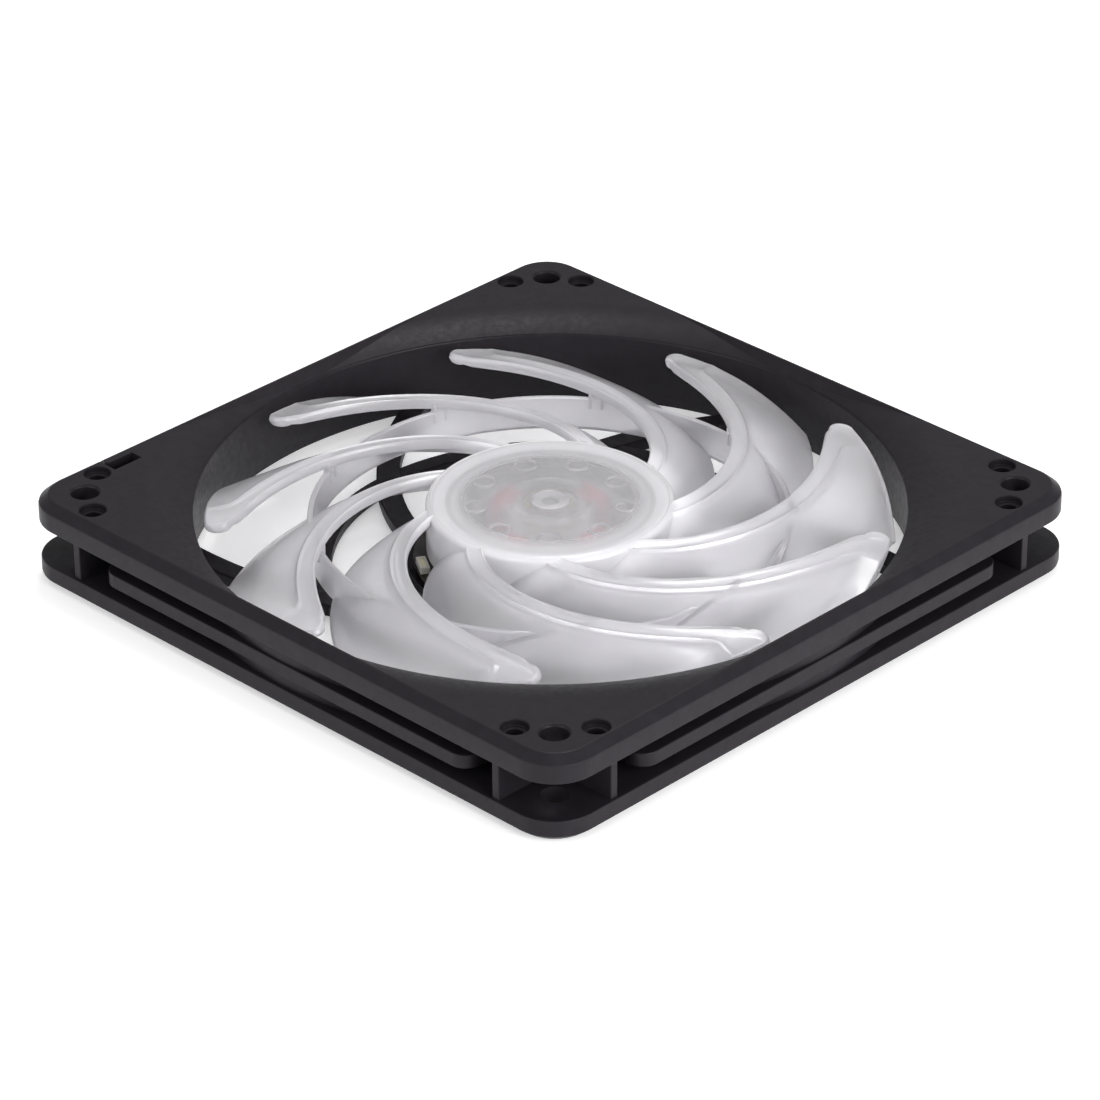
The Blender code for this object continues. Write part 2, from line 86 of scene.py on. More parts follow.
# ---------------------------------------------------------------- motor base, dimensions
LABEL_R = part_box("rear_label")[1].x / MM
LABEL_RECESS_Z = 0.8
BASE_R = 24.2
BASE = (0.3, 1.8)
BASE_RIM = (23.2, 3.1)          # inner radius, top
BASE_SOFT = 0.25
SOCKET_R = (4.5, 5.6)           # collar that holds the bearing tube
SOCKET_TOP = 3.7
SOCKET_SOFT = 0.2
STRUT_COUNT = 6
STRUT_W = 3.9
STRUT_Z = (0.5, 2.7)
STRUT_SWEEP = 54.0              # degrees turned per e-fold of radius
FIRST_STRUT = 200.0             # angle of the first strut at radius STRUT_REF_R
STRUT_REF_R = 26.0
WIRE_STRUT_GAP = 66.0           # the strut beside the wire channel stands further off
# Guard ring under the impeller's ring: dark frame plastic that also serves as painted shade for
# the shadowed floor seen between the blades.
GUARD_AND_SHADE_RING = (35.2, 38.6)
GUARD_AND_SHADE_RING_Z = (0.6, 2.55)

# ---------------------------------------------------------------- impeller, dimensions
HUB_R = 20.0
HUB_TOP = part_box("impeller")[1].z / MM
HUB_PLATE_Z = 11.9              # underside of the hub's top plate
HUB_SKIRT = (18.7, 4.4)         # inner radius, lower end
HUB_RIM_R = 1.05
HUB_BOSS = (4.4, 10.2)          # outer radius, lower end
BUSH_SEAT = (3.1, 12.55)
YOKE_SEAT = (16.0, 16.9, 5.0)   # radii and lower end of the rib round the yoke
HUB_FACE = HUB_TOP - 0.08       # the hub's flat face, a little below its raised rings
HUB_GROOVE = (19.0, 0.12)       # radius of the fine groove inside the rim, depth below HUB_TOP
HUB_RIDGE_R = (6.4, 7.3)
HUB_COLLAR_R = (2.5, 3.3)       # ring round the bush
MARK_R = (1.45, 2.0)            # inner and outer radius of a mark under the hub's plate
MARK_AT = 12.2
MARK_DEPTH = 0.7
FIRST_MARK = 33.8
TIP_R = 55.3
BLADES = 9
FIRST_TIP = 73.1                # foremost point of the first blade
NOSE_R = 2.2                    # each leading edge ends in a round nose at the tip
NOSE_AT = TIP_R - NOSE_R
NOSE_FROM = NOSE_AT - 0.9 * NOSE_R
LEAD_SWEEP = 2.33               # degrees of leading edge per millimetre of radius
LEAD_EASE = 1.68                # millimetres over which the sweep sets in behind the nose
TRAIL_SWEEP = (28.8, 1.75, 0.0105)
BLADE_LEAD_Z = (12.2, 12.45)    # at the hub and at the tip, middle of the thickness
TIP_DROOP = (44.0, 0.8)         # from this radius the tip's front hangs down, by this much
BLADE_TRAIL_Z = (5.4, 4.6)
BLADE_CURVE = 1.7
BLADE_T = (1.1, 0.8)            # thickness at the leading and at the trailing edge
BLADE_ROOT = HUB_R - 0.6        # blades start inside the hub's skirt
BLADE_EDGE = 0.55               # radius of the sheet's rounded edges
LIP_W = (2.4, 2.9)              # width of the leading edge's bead, at the hub and at the nose
LIP_H = 0.55
LIP_EDGE = 0.45
LIP_UNDER = 0.7                 # share of the bead's height on the blade's lower side
LIP_FADE = 9.0                  # the bead sinks into the sheet over this much of the tip
LIP_AT_TIP = 0.4                # share of the bead's height that is left at the tip
RIDGES = (0.08, 0.92)           # places of the two ridges across the bead
RIDGE_W = 0.09
STEP_H = 0.35                   # height of the step that carries the ridges
BEAD_ROWS = (0.0, 0.025, 0.05, 0.08, 0.12, 0.17, 0.25, 0.5, 0.75, 0.82, 0.87, 0.92, 0.97,
             1.03, 1.12, 1.25)
TAIL_GAPS = (1.0, 0.45, 0.2, 0.07, 0.0)     # last points of a row, ahead of the trailing edge
RING_R = (38.0, 38.9)
RING_Z = (5.0, 10.9)
RING_SOFT = 0.2
POST_TOP = 12.3                 # the ring climbs to each leading edge in a short post
POST_DEPTH = 1.9                # how far a post reaches down the ring
POST_HALF = 1.0
POST_RIB = 0.22
POST_PROUD = 0.15               # posts stand this far off the ring's faces
POST_LAG = 1.6                  # degrees behind the leading edge

# ---------------------------------------------------------------- motor, dimensions
POLES = 4
FIRST_POLE = 2.0
COIL_R = (7.9, 10.8)
COIL_HOLE = (1.95, 2.25)        # half width, half height
COIL_MIDDLE_Z = 6.5
WIRE = 0.42
WIRE_TURNS = 20                 # in all layers together
WIRE_STEPS = 28                 # points in one turn
WIRE_LAYERS = ((0.25, 0.22), (0.70, 0.50), (1.15, 0.76))    # beside the pole, above it
LED_COUNT = 6
LED_R = 21.0
FIRST_LED = 238.0
LED_SIZE = (3.8, 1.6)
LED_WALL = (0.35, 0.49)         # of the package round its window, at the sides and at the ends
LED_WINDOW_DEPTH = 0.12

# ---------------------------------------------------------------- fineness of round shapes
FINE, ROUND, SMALL = 240, 180, 96           # sides of a duct, a hub and a motor base
HOLE_SIDES, POCKET_SIDES, MARK_SIDES = 40, 32, 28
GUARD_AND_SHADE_SIDES = 160


# ---------------------------------------------------------------- mesh tools
def arc(cx, cz, r, a0, a1, steps):
    """Points of a round stretch, angles in degrees."""
    return [(cx + r * cos(radians(a0 + (a1 - a0) * i / steps)),
             cz + r * sin(radians(a0 + (a1 - a0) * i / steps))) for i in range(steps + 1)]


def lathe(profile, segments):
    """Closed solid turned about Z; a profile point at radius 0 becomes a pole."""
    bm = bmesh.new()
    rings = []
    for r, z in profile:
        if r < 1e-6:
            rings.append([bm.verts.new((0.0, 0.0, z))])
            continue
        rings.append([bm.verts.new((r * cos(2 * pi * i / segments),
                                    r * sin(2 * pi * i / segments), z))
                      for i in range(segments)])
    for a, b in zip(rings, rings[1:] + rings[:1]):
        for i in range(segments):
            j = (i + 1) % segments
            corners = [a[i % len(a)], a[j % len(a)], b[j % len(b)], b[i % len(b)]]
            unique = list(dict.fromkeys(corners))
            if len(unique) > 2:
                bm.faces.new(unique)
    return bm


def loft(loops):
    """Closed solid through stacked loops of equal point counts."""
    bm = bmesh.new()
    rings = [[bm.verts.new(p) for p in loop] for loop in loops]
    count = len(loops[0])
    for low, high in zip(rings, rings[1:]):
        for i in range(count):
            j = (i + 1) % count
            bm.faces.new((low[i], low[j], high[j], high[i]))
    bm.faces.new(list(reversed(rings[0])))
    bm.faces.new(rings[-1])
    return bm


def prism(outline, z0, z1, soft=0.0):
    """Closed prism over a plan outline, its edges rounded by soft."""
    bm = loft([[(x, y, z) for x, y in outline] for z in (z0, z1)])
    if soft:
        bmesh.ops.recalc_face_normals(bm, faces=bm.faces)
        edges = [e for e in bm.edges if e.calc_face_angle(0.0) > radians(40.0)]
        bmesh.ops.bevel(bm, geom=edges, offset=soft, offset_type="OFFSET", segments=3,
                        profile=0.5, affect="EDGES", clamp_overlap=True)
    return bm


def box(x0, x1, y0, y1, z0, z1, soft=0.0):
    """Closed block between two corners, its edges rounded by soft."""
    return prism(((x0, y0), (x1, y0), (x1, y1), (x0, y1)), z0, z1, soft)


def turned(bm, angle, dx=0.0, dy=0.0):
    """Shift a bmesh in plan, then turn it about Z."""
    bmesh.ops.translate(bm, verts=bm.verts, vec=(dx, dy, 0.0))
    bmesh.ops.rotate(bm, verts=bm.verts, matrix=Matrix.Rotation(radians(angle), 3, "Z"))
    return bm


def rounded_square(half, radius, steps=12):
    """Outline of a square plate with round corners."""
    points = []
    for quarter in range(4):
        cx = (half - radius) * (1 if quarter in (0, 3) else -1)
        cy = (half - radius) * (1 if quarter in (0, 1) else -1)
        points += [(cx + x, cy + y) for x, y in arc(0.0, 0.0, radius, 90.0 * quarter,
                                                    90.0 * quarter + 90.0, steps)]
    return points


def raw_object(name, bm):
    """Turn a bmesh drawn in millimetres into one object at real size."""
    bmesh.ops.recalc_face_normals(bm, faces=bm.faces)
    bmesh.ops.scale(bm, vec=(MM, MM, MM), verts=bm.verts)
    mesh = bpy.data.meshes.new(name)
    bm.to_mesh(mesh)
    bm.free()
    obj = bpy.data.objects.new(name, mesh)
    SCENE.collection.objects.link(obj)
    return obj


def combine(obj, solids, operation):
    """Boolean of obj with many solids at once, baked into obj's own mesh."""
    group = bpy.data.collections.new("operands")
    SCENE.collection.children.link(group)
    tools = []
    for solid in solids:
        tool = raw_object("operand", solid)
        SCENE.collection.objects.unlink(tool)
        group.objects.link(tool)
        tools.append(tool)
    modifier = obj.modifiers.new("combine", "BOOLEAN")
    modifier.operation = operation
    modifier.operand_type = "COLLECTION"
    modifier.collection = group
    modifier.solver = "EXACT"
    bake_modifiers(obj)
    for tool in tools:
        bpy.data.objects.remove(tool, do_unlink=True)
    bpy.data.collections.remove(group)


def bake_modifiers(obj):
    """Make the evaluated mesh the object's own."""
    graph = bpy.context.evaluated_depsgraph_get()
    baked = bpy.data.meshes.new_from_object(obj.evaluated_get(graph))
    obj.modifiers.clear()
    obj.data = baked


def dress(obj, material, body, slot, *nodes, sharp=32.0, weighted=False):
    """Shade a piece, give it its material and hang it on its CAD body."""
    mesh = obj.data
    mesh.materials.clear()
    mesh.materials.append(material)
    mesh.shade_smooth()
    mesh.set_sharp_from_angle(angle=radians(sharp))
    if weighted:
        normals = obj.modifiers.new("flat faces", "WEIGHTED_NORMAL")
        normals.keep_sharp = True
        normals.weight = 60
    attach(obj, body)
    if nodes:
        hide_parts(*nodes)
    return obj


# ---------------------------------------------------------------- materials
def new_material(name, **values):
    """Principled material; uniform values go straight on the shader's sockets."""
    material = bpy.data.materials.new(name)
    material.use_nodes = True
    shader = material.node_tree.nodes["Principled BSDF"]
    for key, value in values.items():
        socket = shader.inputs[key.replace("_", " ")]
        socket.default_value = (*value, 1.0) if isinstance(value, tuple) else value
    return material, shader


# A noise texture's values mostly lie in this range.
TEXTURE_RANGE = (0.3, 0.7)


def link(material, a, b):
    material.node_tree.links.new(a, b)


def noise(material, scale, detail=2.0, rough=0.5):
    nodes = material.node_tree.nodes
    coords = nodes.new("ShaderNodeTexCoord")
    texture = nodes.new("ShaderNodeTexNoise")
    texture.inputs["Scale"].default_value = scale
    texture.inputs["Detail"].default_value = detail
    texture.inputs["Roughness"].default_value = rough
    link(material, coords.outputs["Object"], texture.inputs["Vector"])
    return texture.outputs["Fac"]


def spread(material, fac, low, high):
    """Map a texture's useful range onto low..high."""
    node = material.node_tree.nodes.new("ShaderNodeMapRange")
    node.inputs["From Min"].default_value = TEXTURE_RANGE[0]
    node.inputs["From Max"].default_value = TEXTURE_RANGE[1]
    node.inputs["To Min"].default_value = low
    node.inputs["To Max"].default_value = high
    link(material, fac, node.inputs["Value"])
    return node.outputs["Result"]


def shades(material, fac, dark, light):
    """Map a texture's useful range onto two shades of a colour."""
    ramp = material.node_tree.nodes.new("ShaderNodeValToRGB")
    for element, place, shade in zip(ramp.color_ramp.elements, TEXTURE_RANGE, (dark, light)):
        element.position = place
        element.color = (*shade, 1.0)
    link(material, fac, ramp.inputs["Fac"])
    return ramp.outputs["Color"]


def bump(material, shader, height, distance, strength=1.0):
    node = material.node_tree.nodes.new("ShaderNodeBump")
    node.inputs["Strength"].default_value = strength
    node.inputs["Distance"].default_value = distance
    link(material, height, node.inputs["Height"])
    link(material, node.outputs["Normal"], shader.inputs["Normal"])


def surface(name, dark, light, rough, grain, relief, metallic, **values):
    """Moulded, cast or printed surface: two close shades, uneven gloss and a fine grain."""
    material, shader = new_material(name, Metallic=metallic, **values)
    link(material, shades(material, noise(material, grain * 0.12, 3.0), dark, light),
         shader.inputs["Base Color"])
    link(material, spread(material, noise(material, grain * 0.3), *rough),
         shader.inputs["Roughness"])
    bump(material, shader, noise(material, grain, 3.0, 0.6), relief)
    return material


# Dark and light shade, range of roughness, grains per metre, relief in metres, metallic.
FINISHES = {
    "black_moulding": ((0.0120, 0.0102, 0.0132), (0.0152, 0.0130, 0.0166), (0.38, 0.48),
                       3200.0, 0.000012, 0.0),
    "electrical_steel": ((0.26, 0.26, 0.27), (0.38, 0.38, 0.39), (0.35, 0.55),
                         1500.0, 0.00001, 1.0),
    "ground_steel": ((0.27, 0.30, 0.28), (0.36, 0.40, 0.37), (0.18, 0.30),
                     6000.0, 0.000002, 1.0),
    "enamelled_copper": ((0.74, 0.03, 0.07), (0.86, 0.07, 0.12), (0.22, 0.38),
                         2500.0, 0.000004, 0.3),
    "brass": ((0.62, 0.47, 0.22), (0.74, 0.58, 0.30), (0.22, 0.35), 4000.0, 0.000003, 1.0),
    "sintered_bronze": ((0.40, 0.25, 0.12), (0.56, 0.37, 0.20), (0.45, 0.65),
                        5000.0, 0.00002, 1.0),
    "white_nylon": ((0.72, 0.71, 0.67), (0.80, 0.79, 0.75), (0.40, 0.55),
                    2500.0, 0.00001, 0.0),
    "ferrite": ((0.035, 0.035, 0.04), (0.06, 0.06, 0.065), (0.55, 0.75),
                3500.0, 0.00002, 0.0),
    "board_laminate": ((0.018, 0.016, 0.012), (0.035, 0.032, 0.022), (0.30, 0.45),
                       900.0, 0.00001, 0.0),
    "chip_package": ((0.016, 0.016, 0.017), (0.03, 0.03, 0.03), (0.45, 0.6),
                     5000.0, 0.00001, 0.0),
    "ceramic": ((0.38, 0.27, 0.17), (0.50, 0.37, 0.25), (0.35, 0.5), 4000.0, 0.000008, 0.0),
    "blank_label": ((0.55, 0.55, 0.57), (0.64, 0.64, 0.66), (0.35, 0.5), 700.0, 0.000006, 0.3),
    "led_package": ((0.80, 0.78, 0.70), (0.88, 0.86, 0.78), (0.3, 0.4), 4000.0, 0.000005, 0.0),
    "led_phosphor": ((0.86, 0.80, 0.52), (0.92, 0.88, 0.66), (0.2, 0.35), 6000.0, 0.00001, 0.0),
}
PLAIN_SPECULAR = 0.5
SPECULAR = {"black_moulding": 0.15}     # its fine texture reflects less than bare plastic

# The clear plastic, by distance from the rotor's axis: the share of light that passes, and how
# rough it is.  It is clearest over the motor and whitest round the hub's rim.
FROST_CLEAR = ((13.2, 0.76), (17.2, 0.47), (20.5, 0.38), (25.0, 0.75))
FROST_ROUGH = ((14.0, 0.262), (15.6, 0.33))
FROST_UNEVEN = 0.002
FROST_SHADES = ((0.92, 0.91, 0.945), (0.96, 0.95, 0.98))
FROST_GRAINS = (160.0, 700.0, 260.0)    # per metre: of its shade, its roughness and its waves
FROST_WAVES = (0.00002, 0.3)            # height in metres, strength


def make_materials():
    made = {slot: surface(slot, *finish, Specular_IOR_Level=SPECULAR.get(slot, PLAIN_SPECULAR))
            for slot, finish in FINISHES.items()}
    made["frosted_moulding"] = make_frosted()
    return made


def by_radius(material, stops):
    """Value that changes with the distance from the rotor's axis; stops are (radius, value)."""
    nodes = material.node_tree.nodes
    coords = nodes.new("ShaderNodeTexCoord")
    flat = nodes.new("ShaderNodeVectorMath")
    flat.operation = "MULTIPLY"
    flat.inputs[1].default_value = (1.0 / HALF / MM, 1.0 / HALF / MM, 0.0)
    link(material, coords.outputs["Object"], flat.inputs[0])
    length = nodes.new("ShaderNodeVectorMath")
    length.operation = "LENGTH"
    link(material, flat.outputs["Vector"], length.inputs[0])
    ramp = nodes.new("ShaderNodeValToRGB")
    while len(ramp.color_ramp.elements) < len(stops):
        ramp.color_ramp.elements.new(1.0)
    for element, (radius, value) in zip(ramp.color_ramp.elements, stops):
        element.position = radius / HALF
        element.color = (value, value, value, 1.0)
    link(material, length.outputs["Value"], ramp.inputs["Fac"])
    return ramp.outputs["Color"]


def make_frosted():
    """Milky clear plastic of the impeller."""
    material, shader = new_material("frosted_moulding", IOR=1.46, Coat_Weight=0.45,
                                    Coat_Roughness=0.13)
    cloud, patch, wave = FROST_GRAINS
    link(material, shades(material, noise(material, cloud), *FROST_SHADES),
         shader.inputs["Base Color"])
    link(material, by_radius(material, FROST_CLEAR), shader.inputs["Transmission Weight"])
    frost = by_radius(material, FROST_ROUGH)
    uneven = spread(material, noise(material, patch), -FROST_UNEVEN, FROST_UNEVEN)
    total = material.node_tree.nodes.new("ShaderNodeMath")
    link(material, frost, total.inputs[0])
    link(material, uneven, total.inputs[1])
    link(material, total.outputs["Value"], shader.inputs["Roughness"])
    bump(material, shader, noise(material, wave, 1.0, 0.4), *FROST_WAVES)
    return material


# ---------------------------------------------------------------- frame moulding
def flange(z0, z1, chamfer_top):
    """Rounded-square plate; one outer edge is chamfered and every edge is slightly rounded."""
    across, down = EDGE_CHAMFER
    r = EDGE_ROUND
    if chamfer_top:
        profile = [(r, z0), (r * 0.3, z0 + r * 0.3), (0.0, z0 + r), (0.0, z1 - down - r),
                   (r * 0.35, z1 - down + r * 0.1), (across - r * 0.6, z1 - r * 0.45),
                   (across, z1 - r * 0.1), (across + r, z1)]
    else:
        profile = [(across + r, z0), (across, z0 + r * 0.1), (across - r * 0.6, z0 + r * 0.45),
                   (r * 0.35, z0 + down - r * 0.1), (0.0, z0 + down + r), (0.0, z1 - r),
                   (r * 0.3, z1 - r * 0.3), (r, z1)]
    return loft([[(x, y, z) for x, y in rounded_square(HALF - inset, CORNER_R - inset)]
                 for inset, z in profile])


def strut_angles():
    """Even spacing, but for the wider gap after the first strut."""
    spacing = (360.0 - WIRE_STRUT_GAP) / (STRUT_COUNT - 1)
    return [FIRST_STRUT] + [FIRST_STRUT + WIRE_STRUT_GAP + spacing * k
                            for k in range(STRUT_COUNT - 1)]


def strut(start_angle, r0, r1, steps=20):
    """Swept strut: a band of constant width along a logarithmic spiral."""
    left, right = [], []
    for i in range(steps + 1):
        r = r0 + (r1 - r0) * i / steps
        a = radians(start_angle - STRUT_SWEEP * log(r / STRUT_REF_R))
        heading = a - atan(radians(STRUT_SWEEP))
        x, y = r * cos(a), r * sin(a)
        nx, ny = -sin(heading) * STRUT_W / 2, cos(heading) * STRUT_W / 2
        left.append((x + nx, y + ny))
        right.append((x - nx, y - ny))
    return prism(right + left[::-1], *STRUT_Z, 0.3)


def mouth_solid():
    """Space above the bell mouth, stopped near the four sides by steep inner faces."""
    steps = 14
    rise = DEPTH - LIP_Z
    rim = []
    for i in range(steps + 1):
        t = i / steps
        rim.append((DUCT_R + (MOUTH_R - DUCT_R) * t, LIP_Z + rise * (1.0 - (1.0 - t) ** 2)))
    past = MOUTH_R + 3.0
    profile = [(0.0, LIP_Z)] + rim + [(past, DEPTH + 0.12), (past, DEPTH + CLEAR),
                                      (0.0, DEPTH + CLEAR)]
    bm = lathe(profile, FINE)
    for sx, sy in ((1, 0), (-1, 0), (0, 1), (0, -1)):
        low, high = DUCT_R + 0.15, HALF - EDGE_CHAMFER[0] - 0.3
        slope = (high - low) / rise
        geometry = bm.verts[:] + bm.edges[:] + bm.faces[:]
        cut = bmesh.ops.bisect_plane(bm, geom=geometry, plane_co=(sx * low, sy * low, LIP_Z),
                                     plane_no=(sx, sy, -slope), clear_outer=True)
        edges = [e for e in cut["geom_cut"] if isinstance(e, bmesh.types.BMEdge)]
        bmesh.ops.contextual_create(bm, geom=edges)
    return bm


def frame_walls():
    """Blocks that are joined to the lower flange before anything is cut."""
    (r0, r1), (z0, z1) = DUCT_WALL, DUCT_WALL_Z
    parts = [flange(*UPPER_FLANGE, True), lathe(((r0, z0), (r1, z0), (r1, z1), (r0, z1)), FINE)]
    outer, end = HALF - RIB_INSET, RIB_ROUND
    rib = ([(RIB_ROOT, -RIB_END)] + arc(outer - end, -RIB_END + end, end, -90.0, 0.0, 8)
           + arc(outer - end, RIB_END - end, end, 0.0, 90.0, 8) + [(RIB_ROOT, RIB_END)])
    inner, reach = WEB_AT - WEB_T / 2, HALF - 0.5
    for side in range(4):
        parts.append(turned(prism(rib, *RIB, 0.2), 90.0 * side))
        for sign in (1, -1):
            y0, y1 = sorted((sign * inner, sign * (inner + WEB_T)))
            web = box(inner + 0.02, reach, y0, y1, LOWER_FLANGE[1] - CLEAR,
                      UPPER_FLANGE[0] + CLEAR, 0.18)
            parts.append(turned(web, 90.0 * side))
    return parts


def duct_solid():
    """Air way: a cone at the outlet, the straight duct and the rounded lip over it."""
    radius, depth = LIP_ROUND
    return lathe([(0.0, -CLEAR), (OUTLET_R + 0.3, -CLEAR), (DUCT_R, OUTLET_Z),
                  (DUCT_R, LIP_Z - depth)]
                 + arc(DUCT_R + radius, LIP_Z - depth, radius, 180.0, 105.0, 5)
                 + [(0.0, LIP_Z + 0.7)], FINE)


def mounting_hole():
    """Through hole with a rounded lead-in at both faces."""
    half = [(RIM_R + 1.0, -CLEAR), (RIM_R + 0.05, 0.0), (RIM_R - 0.12, 0.1), (HOLE_R, 0.45)]
    return lathe([(0.0, -CLEAR)] + half + [(r, DEPTH - z) for r, z in reversed(half)]
                 + [(0.0, DEPTH + CLEAR)], HOLE_SIDES)


def pilot_pocket():
    """Stepped pocket beside a mounting hole, its edges slightly rounded."""
    wide, narrow = POCKET_R
    step, floor = POCKET_FLOOR
    return lathe(((0.0, floor), (narrow - 0.15, floor), (narrow, floor + 0.15),
                  (narrow, step - 0.12), (narrow + 0.12, step), (wide - 0.1, step),
                  (wide, step + 0.1), (wide, DEPTH - 0.15), (wide + 0.15, DEPTH),
                  (wide + 1.0, DEPTH + CLEAR), (0.0, DEPTH + CLEAR)), POCKET_SIDES)


def frame_cuts():
    cuts = [duct_solid(), mouth_solid()]
    for sx in (1, -1):
        for sy in (1, -1):
            cuts.append(turned(mounting_hole(), 0.0, sx * HOLE_AT, sy * HOLE_AT))
            for px, py in POCKETS:
                cuts.append(turned(pilot_pocket(), 0.0, sx * px, sy * py))
    cuts.append(prism(CABLE_NOTCH, UPPER_FLANGE[0] - CLEAR, DEPTH + CLEAR))
    return cuts


def soft_ring(r0, r1, z0, z1, soft, segments):
    """Ring of rectangular section with cut corners."""
    return lathe([(r0, z0 + soft), (r0 + soft, z0), (r1 - soft, z0), (r1, z0 + soft),
                  (r1, z1 - soft), (r1 - soft, z1), (r0 + soft, z1), (r0, z1 - soft)], segments)


def motor_base():
    """Turned base: the label's recess below, a rim outside and the bearing tube's socket."""
    r = BASE_SOFT
    rim_r, rim_z = BASE_RIM
    bore, collar = SOCKET_R
    neck = SOCKET_TOP - SOCKET_SOFT
    below = [(0.0, LABEL_RECESS_Z), (LABEL_R + 0.4, LABEL_RECESS_Z), (LABEL_R + 0.6, BASE[0] + r),
             (LABEL_R + 0.6 + r, BASE[0]), (BASE_R - r, BASE[0]), (BASE_R, BASE[0] + r)]
    rim = [(BASE_R, rim_z - r), (BASE_R - r, rim_z), (rim_r + r, rim_z), (rim_r, rim_z - r),
           (rim_r, BASE[1])]
    socket = [(collar, BASE[1]), (collar, neck), (collar - SOCKET_SOFT, SOCKET_TOP),
              (bore + SOCKET_SOFT, SOCKET_TOP), (bore, neck), (bore, BASE[1]), (0.0, BASE[1])]
    return lathe(below + rim + socket, SMALL)


def frame_spider():
    """Motor base, guard ring and the struts that carry them; the ring's dark plastic also stands
    in for painted shade, the shadowed floor seen through the gaps between the blades.
    """
    ring = soft_ring(*GUARD_AND_SHADE_RING, *GUARD_AND_SHADE_RING_Z, BASE_SOFT, GUARD_AND_SHADE_SIDES)
    struts = [strut(angle, BASE_R - 0.3, DUCT_WALL[1] - 0.4) for angle in strut_angles()]
    return [motor_base(), ring] + struts


def build_frame(material):
    body = raw_object("frame_moulding", flange(*LOWER_FLANGE, False))
    combine(body, frame_walls(), "UNION")
    combine(body, frame_cuts(), "DIFFERENCE")
    combine(body, frame_spider(), "UNION")
    return dress(body, material, "housing", "black_moulding", "frame", weighted=True)


# ---------------------------------------------------------------- impeller
def lead_angle(r):
    """Leading edge: an even spiral that ends in a half-round nose, whose front is at zero."""
    across = (max(r, NOSE_FROM) - NOSE_AT) / NOSE_R
    nose = degrees(NOSE_R / NOSE_AT) * (sqrt(max(0.0, 1.0 - across * across)) - 1.0)
    inward = max(0.0, NOSE_FROM - r)
    return nose - LEAD_SWEEP * inward * inward / (inward + LEAD_EASE)


def trail_angle(r):
    """Trailing edge: further behind the nose, and sweeping more, the nearer the hub."""
    inward = TIP_R - r
    start, slope, bend = TRAIL_SWEEP
    return -(start + slope * inward + bend * inward * inward)


def bead_angle(r):
    """Back of the leading edge's bead; past the nose it runs straight out to the tip."""
    r = min(r, NOSE_FROM)
    share = (r - HUB_R) / (NOSE_FROM - HUB_R)
    width = LIP_W[0] + (LIP_W[1] - LIP_W[0]) * share
    return lead_angle(r) - degrees(width / r) / cos(atan(radians(LEAD_SWEEP) * r))


def blade_point(r, angle, tip_angle):
    """Middle surface at an angle behind the nose's front."""
    t = (angle - lead_angle(r)) / (trail_angle(r) - lead_angle(r))
    a = radians(tip_angle + angle)
    s = (r - HUB_R) / (TIP_R - HUB_R)
    droop_from, droop = TIP_DROOP
    lead = (BLADE_LEAD_Z[0] + (BLADE_LEAD_Z[1] - BLADE_LEAD_Z[0]) * s
            - droop * (max(0.0, r - droop_from) / (TIP_R - droop_from)) ** 2)
    trail = BLADE_TRAIL_Z[0] + (BLADE_TRAIL_Z[1] - BLADE_TRAIL_Z[0]) * s
    return Vector((r * cos(a), r * sin(a), lead + (trail - lead) * max(t, 0.0) ** BLADE_CURVE))


def edge_distance(r, angle):
    """How far inside the blade's outline a point lies."""
    behind = radians(lead_angle(r) - angle) * r
    ahead = radians(angle - trail_angle(r)) * r
    centre = -degrees(NOSE_R / NOSE_AT)
    if r > NOSE_FROM and angle > centre:
        front = NOSE_R - hypot(r - NOSE_AT, radians(angle - centre) * r)
    else:
        front = behind * cos(atan(radians(LEAD_SWEEP) * r))
    return max(0.0, min(front, ahead * 0.6, TIP_R - r))


def rounded(distance, radius):
    """Share of the full thickness at a distance inside a rounded edge."""
    return sqrt(max(0.0, 1.0 - (1.0 - min(distance / radius, 1.0)) ** 2))


def bead_height(share):
    """Bead of the leading edge: two narrow ridges on a low step that falls to the sheet."""
    step = STEP_H * min(1.0, max(0.0, (BEAD_ROWS[-1] - share) / 0.2))
    return step + (1.0 - STEP_H) * max(exp(-((share - at) / RIDGE_W) ** 2) for at in RIDGES)


def blade_rows():
    """Radii of a blade's rows: even over the sheet, then close round the nose."""
    spans = 26
    sheet = [BLADE_ROOT + (NOSE_FROM - BLADE_ROOT) * i / spans for i in range(spans)]
    return sheet + [NOSE_AT + NOSE_R * sin(radians(a)) for a in range(-64, 91, 7)] + [TIP_R]


def blade_angles(r):
    """Angles of a row's points: close on the bead and at the trailing edge, even between."""
    plain = 14
    lead, back, trail = lead_angle(r), bead_angle(r), trail_angle(r)
    bead = [lead + (back - lead) * share for share in BEAD_ROWS]
    tail = [trail + degrees(gap / r) for gap in TAIL_GAPS]
    return bead + [bead[-1] + (tail[0] - bead[-1]) * k / plain for k in range(1, plain)] + tail


def blade_section(r, angle, tip_angle):
    """Middle point, normal, half thickness and bead height at one place on a blade."""
    here = blade_point(r, angle, tip_angle)
    across = blade_point(r, angle + 0.2, tip_angle) - blade_point(r, angle - 0.2, tip_angle)
    along = blade_point(r + 0.05, angle, tip_angle) - blade_point(r - 0.05, angle, tip_angle)
    lead, back, trail = lead_angle(r), bead_angle(r), trail_angle(r)
    inside = edge_distance(r, angle)
    t = (angle - lead) / (trail - lead)
    half = (BLADE_T[0] + (BLADE_T[1] - BLADE_T[0]) * t) / 2 * rounded(inside, BLADE_EDGE)
    fade = min(1.0, max(0.0, LIP_AT_TIP + (TIP_R - 1.0 - r) / LIP_FADE))
    lift = LIP_H * fade * bead_height((angle - lead) / (back - lead)) * rounded(inside, LIP_EDGE)
    return here, along.cross(across).normalized(), half, lift


